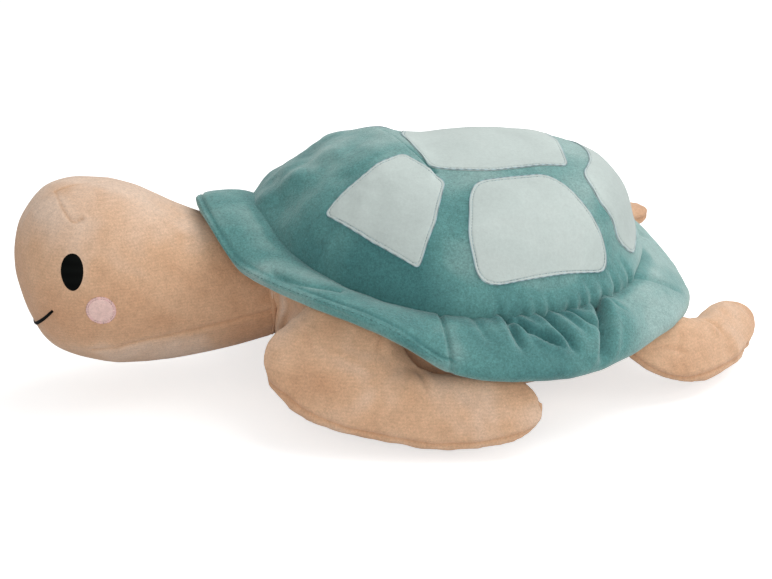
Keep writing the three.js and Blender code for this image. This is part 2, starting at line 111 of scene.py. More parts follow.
# Flippers laid flat: the outline shrinks to the heart, then the whole is turned about its root
FRONT_FLIPPER = dict(
    root=(-58, -110, 90), yaw=-18, slope=8, tilt=52, thick=16.0, heart=(20, -50), plump=0.05,
    creases=[[(-26, -14), (-16, -26), (-8, -40)], [(34, -2), (40, -14), (38, -28)],
             [(66, -30), (76, -40), (80, -50)]],
    outline=[(-14, 12), (-33, -11), (-44, -29), (-46, -50), (-20, -77), (18, -89), (63, -90), (107, -87),
             (149, -71), (164, -48), (148, -28), (110, -25), (75, -28), (55, -12), (44, 8)])
REAR_FLIPPER = dict(
    root=(182, -92, 60), yaw=40, slope=0, tilt=42, thick=15.0, heart=(45, -38), plump=0.0,
    creases=[[(-10, -8), (12, -18), (30, -20)], [(-14, -26), (6, -34), (20, -46)],
             [(60, -24), (70, -36), (72, -48)]],
    outline=[(-24, 8), (-27, -19), (-15, -43), (14, -64), (43, -72), (76, -73), (110, -68), (141, -56),
             (150, -42), (139, -26), (110, -18), (75, -16), (45, -6), (22, 8)])
RAISED_FLIPPER = dict(REAR_FLIPPER, yaw=-28, tilt=-5)
FLIPPER_ROUNDNESS, FLIPPER_FULLNESS, FLIPPER_SEAM_ROOM = 0.9, 0.8, 2.5

# Cloth run that fills the flippers, and the smoothing after it
CLOTH_FRAMES, CLOTH_PRESSURE, CLOTH_MASS, CLOTH_QUALITY = 20, 4.0, 0.3, 6
CLOTH_TENSION, CLOTH_SHEAR, CLOTH_BENDING = 12, 4, 0.3
CLOTH_VOXEL, CLOTH_MOST_SWELL = 4.8, 5.0
SOFTENING, SOFTENING_ROUNDS, FINER_LEVELS = 0.5, 9, 2

# Dashes of thread: how thick each ring of a stitch is, and how deep its ends sink
STITCH_RINGS, STITCH_SIDES, STITCH_SINK = (0.35, 0.9, 1.0, 0.9, 0.35), 5, 0.25


# Curves and fields

def profile(stations):
    """A smooth curve through (place, value) pairs, flat beyond its ends."""
    t, v = np.array(stations, float).T
    slope = np.empty_like(v)
    slope[1:-1] = (v[2:] - v[:-2]) / (t[2:] - t[:-2])
    slope[0] = (3 * (v[1] - v[0]) / (t[1] - t[0]) - slope[1]) / 2
    slope[-1] = (3 * (v[-1] - v[-2]) / (t[-1] - t[-2]) - slope[-2]) / 2

    def at(x):
        x = np.clip(x, t[0], t[-1])
        i = np.clip(np.searchsorted(t, x, side="right") - 1, 0, len(t) - 2)
        h = t[i + 1] - t[i]
        s = (x - t[i]) / h
        return ((2 * s**3 - 3 * s**2 + 1) * v[i] + (s**3 - 2 * s**2 + s) * h * slope[i]
                + (-2 * s**3 + 3 * s**2) * v[i + 1] + (s**3 - s**2) * h * slope[i + 1])
    return at


def smooth(value, low, high):
    """0 below low, 1 above high and a soft step between."""
    t = np.clip((value - low) / (high - low), 0, 1)
    return t * t * (3 - 2 * t)


def fading(value, low, high):
    """1 below low, 0 above high and a soft step between."""
    return smooth(-value, -high, -low)


def unit(v):
    v = np.asarray(v, float)
    return v / np.maximum(np.linalg.norm(v, axis=-1, keepdims=True), 1e-12)


def cloudy(points, scale, seed):
    """Smooth noise from -1 to 1 at each point, with features about scale millimetres across."""
    shift = Vector((seed * 17.3, seed * 5.1, seed * 9.7))
    return np.array([noise.noise(Vector(p) / scale + shift) for p in points])


def mottled(points, *layers):
    """Layers of cloudy noise added up, each given as (strength, scale, seed)."""
    return sum(strength * cloudy(points, scale, seed) for strength, scale, seed in layers)


def run_of(path):
    """How far along a path each of its points is."""
    return np.concatenate([[0], np.cumsum(np.linalg.norm(np.diff(path, axis=0), axis=1))])


def sampled(places, run, rows):
    """The rows, given at each length of run, at other places along it."""
    return np.stack([np.interp(places, run, column) for column in rows.T], axis=1)


def distance_to(points, line):
    """Distance of each point from a line of closely spaced points, and the share along it."""
    tree = KDTree(len(line))
    for i, p in enumerate(line):
        tree.insert(p, i)
    tree.balance()
    found = [tree.find(p) for p in points]
    return np.array([f[2] for f in found]), np.array([f[1] for f in found]) / max(len(line) - 1, 1)


def trough(distance, width):
    """1 at no distance, falling off as a bell of this width."""
    return np.exp(-(distance / width) ** 2)


def climbs(low_count, turn, high_count, top):
    """Angles from 0 to top degrees as radians: low_count of them below turn and high_count above."""
    low = np.linspace(0, turn, low_count, endpoint=False)
    return np.radians(np.concatenate([low, np.linspace(turn, top, high_count)]))


def circle(count):
    return np.linspace(0, 2 * math.pi, count, endpoint=False)


def signed_degrees(angle):
    return np.degrees((angle + math.pi) % (2 * math.pi) - math.pi)


def fine_line(points):
    """A line along the points, its corners cut three times, with a point about every millimetre."""
    path = np.array(points, float)
    for _ in range(3):
        a, b = path[:-1], path[1:]
        cut = np.stack([a * 0.75 + b * 0.25, a * 0.25 + b * 0.75], 1).reshape(-1, 3)
        path = np.concatenate([path[:1], cut, path[-1:]])
    run = run_of(path)
    return sampled(np.linspace(0, run[-1], max(2, int(round(run[-1])) + 1)), run, path)


# Meshes

def placed(name, data):
    obj = bpy.data.objects.new(name, data)
    bpy.context.scene.collection.objects.link(obj)
    return obj


def mesh_of(name, points, faces):
    mesh = bpy.data.meshes.new(name)
    mesh.from_pydata([tuple(p) for p in np.asarray(points) * MM + ORIGIN], [], faces)
    mesh.validate()
    mesh.shade_smooth()
    return placed(name, mesh)


def lattice(name, grid, wrap_rows=False, start_pole=False, end_pole=False, flip=False):
    """A surface through grid[i][j]; columns wrap around, and a pole closes the first or last row."""
    rows, cols = grid.shape[:2]
    points = grid.reshape(-1, 3)
    faces = []
    for i in range(rows if wrap_rows else rows - 1):
        k = (i + 1) % rows
        for j in range(cols):
            m = (j + 1) % cols
            faces.append((i * cols + j, i * cols + m, k * cols + m, k * cols + j))
    extra = []
    if start_pole:
        extra.append(grid[0].mean(axis=0))
        faces += [(len(points), (j + 1) % cols, j) for j in range(cols)]
    if end_pole:
        last = (rows - 1) * cols
        extra.append(grid[-1].mean(axis=0))
        top = len(points) + len(extra) - 1
        faces += [(last + j, last + (j + 1) % cols, top) for j in range(cols)]
    if extra:
        points = np.concatenate([points, extra])
    if flip:
        faces = [f[::-1] for f in faces]
    return mesh_of(name, points, faces)


def read(obj):
    """Vertex places in millimetres, and normals."""
    mesh = obj.data
    places, normals = np.empty(len(mesh.vertices) * 3), np.empty(len(mesh.vertices) * 3)
    mesh.vertices.foreach_get("co", places)
    mesh.vertex_normals.foreach_get("vector", normals)
    return (places.reshape(-1, 3) - ORIGIN) / MM, normals.reshape(-1, 3)


def write(obj, points):
    obj.data.vertices.foreach_set("co", (points * MM + ORIGIN).ravel())
    obj.data.update()


def push(obj, amounts):
    """Moves each vertex along its normal."""
    points, normals = read(obj)
    write(obj, points + normals * amounts[:, None])


def tree_of(obj):
    points, _ = read(obj)
    return BVHTree.FromPolygons([tuple(p) for p in points], [tuple(f.vertices) for f in obj.data.polygons])


def laid_on(tree, origins, way, fall=0):
    """Where rays from the origins meet a surface, and its normals; past it, the nearest to their ends."""
    found = []
    for origin in origins:
        hit, normal, _, _ = tree.ray_cast(Vector(origin), Vector(way))
        if hit is None:
            hit, normal, _, _ = tree.find_nearest(Vector(origin + way * fall))
        found.append((hit, normal))
    return np.array(found).transpose(1, 0, 2)


def paint_shade_and_tone(obj, shade_and_tone):
    """Painted shade and light at each vertex, with random tone: from -1, dark, to 1, pale."""
    layer = obj.data.attributes.new("shade_and_tone", "FLOAT", "POINT")
    layer.data.foreach_set("value", np.clip(shade_and_tone, -1, 1).astype(np.float32))
    return obj


def inflate(obj):
    """Swells a closed piece as cloth round its filling, with each point's way capped."""
    scene = bpy.context.scene
    bpy.context.view_layer.objects.active = obj

    def applied(kind, **settings):
        modifier = obj.modifiers.new(kind.lower(), kind)
        for name, value in settings.items():
            setattr(modifier, name, value)
        bpy.ops.object.modifier_apply(modifier=modifier.name)

    applied("REMESH", mode="VOXEL", voxel_size=CLOTH_VOXEL * MM)
    before, _ = read(obj)
    cloth = obj.modifiers.new("cloth", "CLOTH")
    settings = cloth.settings
    settings.quality, settings.mass = CLOTH_QUALITY, CLOTH_MASS
    settings.tension_stiffness = settings.compression_stiffness = CLOTH_TENSION
    settings.shear_stiffness, settings.bending_stiffness = CLOTH_SHEAR, CLOTH_BENDING
    settings.use_pressure, settings.uniform_pressure_force = True, CLOTH_PRESSURE
    settings.effector_weights.gravity = 0
    for step in range(1, CLOTH_FRAMES + 1):
        scene.frame_set(step)
    evaluated = obj.evaluated_get(bpy.context.evaluated_depsgraph_get())
    after = np.empty(len(before) * 3)
    evaluated.data.vertices.foreach_get("co", after)
    obj.modifiers.remove(cloth)
    scene.frame_set(1)
    moved = (after.reshape(-1, 3) - ORIGIN) / MM - before
    far = np.linalg.norm(moved, axis=1, keepdims=True)
    write(obj, before + moved * np.minimum(1, CLOTH_MOST_SWELL / np.maximum(far, 1e-9)))
    applied("SMOOTH", factor=SOFTENING, iterations=SOFTENING_ROUNDS)
    applied("SUBSURF", levels=FINER_LEVELS, render_levels=FINER_LEVELS)
    obj.data.shade_smooth()


def joined(name, pieces):
    """One object from several, materials kept."""
    for obj in bpy.context.selected_objects:
        obj.select_set(False)
    for obj in pieces:
        obj.select_set(True)
    bpy.context.view_layer.objects.active = pieces[0]
    bpy.ops.object.join()
    pieces[0].name = name
    return pieces[0]


# Materials: noise is given as scale, detail, roughness and distortion, and a ramp as (place, value) stops

# The share of the painted shade and light in a velour's tone, and where its dark, mid and light tones stand
SHADE_AND_TONE_SHARE, TONE_PLACES = 0.34, (0.16, 0.5, 0.84)
CLOUD_NOISE, PILE_NOISE, TUFT_NOISE = (16, 2, 0.45, 0.6), (440, 4, 0.8, 0.0), (170, 2, 0.5, 0.0)
FINE_RELIEF_NOISE, BROAD_RELIEF_NOISE, FINE_RELIEF_SHARE = (460, 4, 0.75, 0.0), (130, 2, 0.5, 0.0), 0.8
PILE_RAMP, TUFT_RAMP = ((0.3, 0.62), (0.7, 1.36)), ((0.3, 0.93), (0.7, 1.07))
KNIT_RAMP = ((0.1, 0.84), (0.9, 1.12))
TUFT_TO_SPECKLE = 1.5
PILE_DEPTH, THREAD_DEPTH = 0.0014, 0.0004
WAVE_LENGTH = 314.0  # millimetres between the bands of a wave texture at scale 1
THREAD_SHADE, THREAD_SHINE = 0.6, 1.25


def set_inputs(node, values):
    """Gives each input its value, or joins it to another node's output."""
    for name, value in values.items():
        if isinstance(value, bpy.types.NodeSocket):
            node.id_data.links.new(value, node.inputs[name])
        else:
            node.inputs[name].default_value = value


def new_node(nodes, kind, inputs=None, **settings):
    node = nodes.new("ShaderNode" + kind)
    for name, value in settings.items():
        setattr(node, name, value)
    set_inputs(node, inputs or {})
    return node


def new_material(name):
    """A new material, its nodes and its shader."""
    material = bpy.data.materials.new(name)
    material.use_nodes = True
    nodes = material.node_tree.nodes
    return material, nodes, nodes["Principled BSDF"]


def ramp(nodes, fac, stops):
    """Colours in between (place, colour) stops."""
    node = new_node(nodes, "ValToRGB", {"Fac": fac})
    first, last = node.color_ramp.elements
    first.position, first.color = stops[0][0], (*stops[0][1], 1)
    last.position, last.color = stops[-1][0], (*stops[-1][1], 1)
    for place, colour in stops[1:-1]:
        node.color_ramp.elements.new(place).color = (*colour, 1)
    return node.outputs["Color"]


def relief(nodes, height, strength, depth):
    bump = new_node(nodes, "Bump", {"Strength": strength, "Distance": depth, "Height": height})
    return bump.outputs["Normal"]


def plush(name, dark, mid, light, grain=1.0, sheen=0.5, speckle=0.6, bump=0.5, rows=0.0):
    """Short-pile velour: a ramp from dark to light tone, moved by each vertex's painted shade and light and
    by cloudy tone, with speckled pile and a soft edge glow.
    """
    material, nodes, shader = new_material(name)
    where = new_node(nodes, "TexCoord").outputs["Object"]

    def cloud(scale, detail, rough, distortion):
        return new_node(nodes, "TexNoise", {"Vector": where, "Scale": scale, "Detail": detail,
                                            "Roughness": rough, "Distortion": distortion}).outputs["Fac"]

    def finer(scale, *settings):
        return cloud(scale * grain, *settings)

    def grey_ramp(fac, stops):
        return ramp(nodes, fac, [(place, (value,) * 3) for place, value in stops])

    def add(a, factor, b):
        return new_node(nodes, "Math", {0: a, 1: factor, 2: b}, operation="MULTIPLY_ADD").outputs[0]

    def multiplied(factor, a, b):
        return new_node(nodes, "Mix", {"Factor": factor, "A": a, "B": b},
                        data_type="RGBA", blend_type="MULTIPLY").outputs["Result"]

    # The vertex attribute read here holds painted shade and light with random tone, and moves the colour
    # between the dark and the light tone
    shade_and_tone = new_node(nodes, "Attribute", attribute_name="shade_and_tone")
    shade_and_cloud = add(shade_and_tone.outputs["Fac"], SHADE_AND_TONE_SHARE, cloud(*CLOUD_NOISE))
    tone = ramp(nodes, shade_and_cloud, list(zip(TONE_PLACES, (dark, mid, light))))
    pile = grey_ramp(finer(*PILE_NOISE), PILE_RAMP)
    tufts = grey_ramp(cloud(*TUFT_NOISE), TUFT_RAMP)
    colour = multiplied(min(1, speckle * TUFT_TO_SPECKLE), multiplied(speckle, tone, pile), tufts)
    if rows:
        knit = new_node(nodes, "TexWave", {"Vector": where, "Scale": 125, "Distortion": 5.0, "Detail": 3,
                                           "Detail Scale": 0.5}, wave_type="BANDS", bands_direction="Z")
        colour = multiplied(rows, colour, grey_ramp(knit.outputs["Fac"], KNIT_RAMP))
    height = add(finer(*FINE_RELIEF_NOISE), FINE_RELIEF_SHARE, cloud(*BROAD_RELIEF_NOISE))
    glow = [min(1, c * 0.65 + 0.35) for c in light]
    set_inputs(shader, {"Base Color": colour, "Roughness": 0.95, "Specular IOR Level": 0.1,
                        "Sheen Weight": sheen, "Sheen Roughness": 0.5, "Sheen Tint": (*glow, 1),
                        "Normal": relief(nodes, height, bump, PILE_DEPTH)})
    return material


def thread(name, colour, along, spacing, sheen=0.2, rough=0.45, shine=0.35):
    """Satin stitch: ribs of thread across one direction, spaced in millimetres."""
    material, nodes, shader = new_material(name)
    where = new_node(nodes, "TexCoord").outputs["Object"]
    wave = new_node(nodes, "TexWave", {"Vector": where, "Scale": WAVE_LENGTH / spacing, "Distortion": 1.2,
                                       "Detail": 2}, wave_type="BANDS", bands_direction=along).outputs["Fac"]
    tones = [[min(1, c * share) for c in colour] for share in (THREAD_SHADE, THREAD_SHINE)]
    set_inputs(shader, {"Base Color": ramp(nodes, wave, list(zip((0, 1), tones))), "Roughness": rough,
                        "Specular IOR Level": shine, "Sheen Weight": sheen,
                        "Normal": relief(nodes, wave, 0.5, THREAD_DEPTH)})
    return material


# Each velour's dark and light tones give its painted shade and light as well as its random tone
SAND = plush("sand_velour", (0.58, 0.33, 0.19), (0.67, 0.425, 0.27), (0.75, 0.56, 0.43),
             grain=1.5, speckle=0.5, sheen=0.45)
FACE = plush("sand_knit_velour", (0.59, 0.335, 0.195), (0.68, 0.43, 0.272), (0.76, 0.57, 0.44),
             grain=1.5, speckle=0.5, sheen=0.4, rows=0.14)
TEAL = plush("teal_velour", (0.055, 0.18, 0.18), (0.105, 0.27, 0.26), (0.28, 0.42, 0.40),
             grain=1.4, speckle=0.85, sheen=0.8)
PALE = plush("pale_velour", (0.45, 0.51, 0.49), (0.525, 0.595, 0.57), (0.55, 0.605, 0.58),
             speckle=0.16, sheen=0.25, bump=0.2)
SAGE = plush("sage_under_cloth", (0.20, 0.26, 0.21), (0.25, 0.30, 0.25), (0.30, 0.34, 0.29), sheen=0.3)
PINK = plush("pink_knit", (0.76, 0.52, 0.475), (0.82, 0.585, 0.535), (0.87, 0.65, 0.60),
             grain=0.8, speckle=0.4)
BLACK = thread("black_satin_thread", (0.002, 0.0026, 0.0023), "Z", spacing=8.4,
               sheen=0.0, rough=0.6, shine=0.05)
GREY_THREAD = thread("grey_thread", (0.29, 0.40, 0.44), "X", spacing=6.0)
TEAL_THREAD = thread("teal_thread", (0.05, 0.15, 0.15), "X", spacing=6.0)
PINK_THREAD = thread("pink_thread", (0.66, 0.38, 0.40), "X", spacing=6.0)


def dress(obj, *materials):
    obj.data.materials.clear()
    for material in materials:
        obj.data.materials.append(material)
    return obj


# Stitches

def stitches(name, line, normals, material, length, gap, radius, lift):
    """A row of short thread dashes along a line that lies on a surface."""
    run = run_of(line)
    rings, sides = len(STITCH_RINGS), STITCH_SIDES
    points, faces = [], []
    at = gap
    while at + length < run[-1]:
        places = np.linspace(at, at + length, rings)
        spine, upward = sampled(places, run, line), unit(sampled(places, run, normals))
        along = unit(spine[-1] - spine[0])
        base = len(points)
        for p, n, share in zip(spine, upward, STITCH_RINGS):
            side = unit(np.cross(along, n))
            rise, thick = lift - STITCH_SINK * (1 - share), radius * share
            for k in range(sides):
                a = 2 * math.pi * k / sides
                points.append(p + n * (rise + thick * math.sin(a)) + side * thick * math.cos(a))
        for near in range(base, base + (rings - 1) * sides, sides):
            far = near + sides
            for k in range(sides):
                m = (k + 1) % sides
                faces.append((near + k, near + m, far + m, far + k))
        faces.append(tuple(base + k for k in range(sides))[::-1])
        faces.append(tuple(base + (rings - 1) * sides + k for k in range(sides)))
        at += length + gap
    return dress(mesh_of(name, np.array(points), faces), material)


def cord(name, line, normals, material, radius, lift):
    """A thread laid along a closed line on a surface."""
    along = unit(np.roll(line, -1, axis=0) - np.roll(line, 1, axis=0))
    side = unit(np.cross(along, normals))
    turn = circle(6)
    grid = (line[:, None] + normals[:, None] * (lift + radius * np.sin(turn))[None, :, None]
            + side[:, None] * (radius * np.cos(turn))[None, :, None])
    return dress(lattice(name, grid, wrap_rows=True, flip=True), material)


# Body

crease_height = profile(CREASE_HEIGHTS)
ridge_height = profile(RIDGE_HEIGHTS)
rim_edge_height = profile(RIM_EDGE_HEIGHTS)


def oval_reach(angle, squareness):
    power = np.where(np.cos(angle) < 0, squareness[0], squareness[1])
    return (np.abs(np.cos(angle)) ** power + np.abs(np.sin(angle)) ** power) ** (-1 / power)


def oval(angle, middle, half_length, half_width, squareness):
    """The points of an oval in plan, squarer at one end than at the other."""
    reach = oval_reach(angle, squareness)
    return np.stack([middle + half_length * reach * np.cos(angle), half_width * reach * np.sin(angle)], -1)


def body_half_width(x):
    along = np.abs(x - BODY_MIDDLE) / BODY_HALF_LENGTH
    power = np.where(x < BODY_MIDDLE, *BODY_SQUARENESS)
    return BODY_HALF_WIDTH * np.maximum(0, 1 - along**power) ** (1 / power)


def body_point(angle, climb):
    """A point of the body, at an angle around it and a climb from -90 degrees, under it, to 90."""
    reach = np.cos(climb) * oval_reach(angle, BODY_SQUARENESS)
    x = BODY_MIDDLE + BODY_HALF_LENGTH * reach * np.cos(angle)
    y = BODY_HALF_WIDTH * reach * np.sin(angle)
    crease = crease_height(x)
    sideways = np.clip(np.abs(y) / np.maximum(body_half_width(x), 1e-6), 0, 1)
    dome = crease + (ridge_height(x) - crease) * np.sqrt(1 - sideways**2)
    forward = np.maximum(0, (BODY_MIDDLE - x) / BODY_HALF_LENGTH)
    belly = CHEST_LIFT * forward**4 - BELLY_DIP
    under = crease - (crease - belly) * np.abs(np.sin(climb)) ** BELLY_FULLNESS
    return np.stack([x, y, np.where(climb >= 0, dome, under)], axis=-1)


def rim_station(angle):
    """At each angle: the rim's middle, half width, half thickness, arch, and outward and upward ways."""
    crease = oval(angle, BODY_MIDDLE, BODY_HALF_LENGTH, BODY_HALF_WIDTH, BODY_SQUARENESS)
    crease = np.concatenate([crease, crease_height(crease[:, :1])], axis=1)
    edge = oval(angle, RIM_MIDDLE, RIM_HALF_LENGTH, RIM_HALF_WIDTH, RIM_SQUARENESS)
    turn = signed_degrees(angle)
    climbing, sinking = smooth(turn, FAR_LIFT_START, FAR_LIFT_FULL), smooth(turn, FAR_LIFT_FULL, FAR_LIFT_END)
    lift = FAR_LIFT * (climbing - sinking)
    edge = np.concatenate([edge, rim_edge_height(edge[:, :1]) + lift[:, None]], axis=1)
    outward = unit(edge - crease)
    upward = unit(np.array([0, 0, 1.0]) - outward * outward[:, 2:])
    inner = crease - outward * RIM_SEAT
    forward = np.clip((edge[:, 0] - RIM_SEAM_X) / (RIM_MIDDLE - RIM_HALF_LENGTH - RIM_SEAM_X), 0, 1)
    thickness = RIM_HALF_THICKNESS + (COLLAR_HALF_THICKNESS - RIM_HALF_THICKNESS) * forward
    half_width = np.linalg.norm(edge - inner, axis=1) / 2
    return (inner + edge) / 2, half_width, thickness, COLLAR_ARCH * forward, outward, upward


DOME_COLUMNS = 560
REAR_BLUR, REAR_BLUR_WIDTH, REAR_BLUR_ROUNDS = 0.5, 5, 60
MM_PER_DEGREE = 2.6
GATHER_ANGLES = (-86, -80, -75.5, -71, -66, -61.5, -57, -52, -46, -38, 40, 52, 63, 76, 88)
DOME_SWELLS = [  # place, radius, height
    ((-101, -17, 155), 11, 3), ((-89, -41, 157), 12, -3.5), ((-78, -27, 174), 11, 4),
    ((-75, -46, 169), 9, -2.5), ((-47, -19, 191), 13, 3), ((-48, -54, 180), 12, -1.5),
    ((-35, -48, 188), 10, 1.5), ((-62, 5, 187), 11, -3), ((-16, -37, 196), 14, 3),
    ((-95, 30, 160), 12, 3), ((-70, 40, 172), 12, -3), ((-40, 35, 190), 14, 3),
    ((-69, -59, 165), 13, 1.5), ((178, -87, 95), 14, 2),
]
DOME_FOLD = [(-2, 8, 201), (3, -10, 200), (7, -20, 198), (14, -36, 194), (21, -49, 189), (27, -61, 184)]


def make_dome():
    angle = 2 * math.pi * (np.arange(DOME_COLUMNS) + 0.5) / DOME_COLUMNS
    grid = body_point(angle[None, :], climbs(60, 30, 80, 89.2)[:, None])
    behind = REAR_BLUR * trough(np.degrees(np.minimum(angle, 2 * math.pi - angle)), REAR_BLUR_WIDTH)
    for _ in range(REAR_BLUR_ROUNDS):
        beside = (np.roll(grid, 1, axis=1) + np.roll(grid, -1, axis=1)) / 2
        grid = grid + (beside - grid) * behind[None, :, None]
    dome = lattice("dome_plush", grid, end_pole=True)
    points, _ = read(dome)
    x, y = points[:, 0], points[:, 1]
    turn = np.degrees(np.arctan2(y / BODY_HALF_WIDTH, (x - BODY_MIDDLE) / BODY_HALF_LENGTH))
    above = points[:, 2] - crease_height(x)
    front, rear = fading(x, -50, 30), smooth(x, -30, 60)
    amounts = mottled(points, (1.2, 60, 1), (0.6, 22, 2))
    amounts += front * smooth(above, 8, 30) * mottled(points, (1.6, 27, 3), (1.0, 12, 4))
    for place, radius, height in DOME_SWELLS:
        amounts += height * trough(np.linalg.norm(points - place, axis=1), radius)
    roll, waist = trough(above - 15, 11), trough(above - 42, 14)
    amounts += rear * (4.5 * roll - 1.5 * waist)
    for place in GATHER_ANGLES:
        lean = 0.05 * math.sin(place * 1.7)
        reach = 20 + 8 * math.sin(place * 2.3)
        depth = 2.2 + 0.9 * math.sin(place * 3.1)
        off = (turn - place - lean * above) * MM_PER_DEGREE
        gather = 1.1 * trough(np.abs(off) - 5.5, 3.0) - depth * trough(off, 2.1)
        amounts += gather * fading(above, 3, reach + 10)
    amounts -= 4.0 * fading(above, 0, 6)
    off, _ = distance_to(points, fine_line(DOME_FOLD))
    (start_x, start_y, _), (end_x, end_y, _) = DOME_FOLD[0], DOME_FOLD[-1]
    ahead = smooth(np.interp(y, (end_y, start_y), (end_x, start_x)) - x, 0, 6)
    amounts += 3.4 * trough(off, 13) * ahead - 3.4 * trough(off, 2.2)
    push(dome, amounts)
    # Painted shade and light: darker low on the dome and at the crease, towards the front and along the fold;
    # lighter on the crown, the saddle and towards the tail; with random cloudy tone
    low, at_crease = fading(above, 5, 75), fading(above, 0.5, 5)
    crown, tail = smooth(above, 60, 110), smooth(x, 120, 200)
    saddle = smooth(x, 60, 150) * smooth(above, 10, 60)
    shade_and_tone = 0.5 * (crown + tail) + 0.35 * saddle + 0.4 * smooth(x, 170, 200) - 0.75 * low * (1 - 0.6 * rear)
    shade_and_tone -= 0.9 * at_crease + 0.45 * front + 0.5 * fading(x, -95, -50) + 0.8 * trough(off, 2.6)
    shade_and_tone += 0.5 * cloudy(points, 48, 6) + 0.25 * front * cloudy(points, 17, 9)
    return dress(paint_shade_and_tone(dome, shade_and_tone), TEAL)


BELLY_COLUMNS, BELLY_FLOOR = 300, 0.4
CHEST_BLEND, CHEST_PLEATS, CHEST_PLEAT_HEIGHT = 14, 31, 1.7


def make_belly():
    """The under cloth, swelling round the neck's stuffing into a pleated chest."""
    angle = 2 * math.pi * (np.arange(BELLY_COLUMNS) + 0.5) / BELLY_COLUMNS
    grid = body_point(angle[None, :], -climbs(24, 6, 70, 89)[:, None])
    belly = lattice("belly_plush", grid, end_pole=True, flip=True)
    points, normals = read(belly)
    points = points + normals * (0.8 * cloudy(points, 40, 5) - 0.4)[:, None]
    away = points - NECK_PIVOT
    far = np.linalg.norm(away, axis=1)
    ahead = np.degrees(np.arccos(np.clip(-away[:, 0] / np.maximum(far, 1e-9), -1, 1)))
    around = np.arctan2(away[:, 1], -away[:, 2])
    pleat = np.sin(np.radians(ahead) * CHEST_PLEATS + 1.5 * np.sin(around * 5))
    swell = (far**CHEST_BLEND + CHEST_BALL_RADIUS**CHEST_BLEND) ** (1 / CHEST_BLEND) - far
    bulging = fading(far, 46, 75) * smooth(ahead, 55, 75) * fading(ahead, 95, 135)
    grown = far + swell * fading(ahead, 95, 120) + CHEST_PLEAT_HEIGHT * pleat * bulging
    points = NECK_PIVOT + unit(away) * grown[:, None]
    points[:, 2] = np.maximum(points[:, 2], BELLY_FLOOR)
    write(belly, points)
    # Painted shade and light following the chest pleats, with random cloudy tone
    return dress(paint_shade_and_tone(belly, 0.4 * cloudy(points, 35, 14) + 0.6 * pleat * bulging), SAND)


RIM_COLUMNS, RIM_ROWS, RIM_FLATNESS = 1200, 60, 0.75
RIM_FOLDS = [  # angle, half width, depth, how far out it runs, lean outwards
    (-91, 0.9, 1.5, -0.1, 3), (-84.2, 0.8, 4, 0.15, 1), (-80.5, 0.7, 2, -0.2, 2),
    (-77, 1, 5, 0.25, 10), (-72.2, 0.9, 4.5, 0.35, 2.5), (-67, 0.8, 2, -0.1, 3),
    (-62.5, 0.9, 4, 0.05, 5.5), (-59.8, 1.2, 9, 0.75, -5.5), (-51, 0.8, 1.5, -0.1, 3),
    (-26, 1.2, 1.8, 0.5, 10), (38, 1.2, 4, 0.3, 0), (52, 1.2, 4, 0.4, 2),
    (66, 1.2, 4.5, 0.2, -3), (80, 1.2, 4, 0.3, 1), (12, 1.4, 2.5, 0.3, 0),
]
RIM_PUFFS = [  # angle, half width, height
    (-96, 4, 1.5), (-88, 2.6, 2), (-74.6, 1.8, 2), (-67, 3.6, 3.2), (-54, 4.5, 4),
    (-42, 6, 1.5), (45, 5, 2.5), (59, 5, 2.5), (73, 5, 2.5),
]
COLLAR_FOLD = [(-103, -90, 119), (-101, -94, 118), (-94, -102, 117), (-84, -109, 115), (-73, -113, 115),
               (-64, -116, 113), (-56, -119, 112)]
# Place and radius of a painted shade spot on the collar
COLLAR_SHADE_PLACE, COLLAR_SHADE_RADIUS = (-121, -25, 142), 26
RIM_HEM, RIM_HEM_TURN, RIM_HEM_END = 5.0, 22, 4


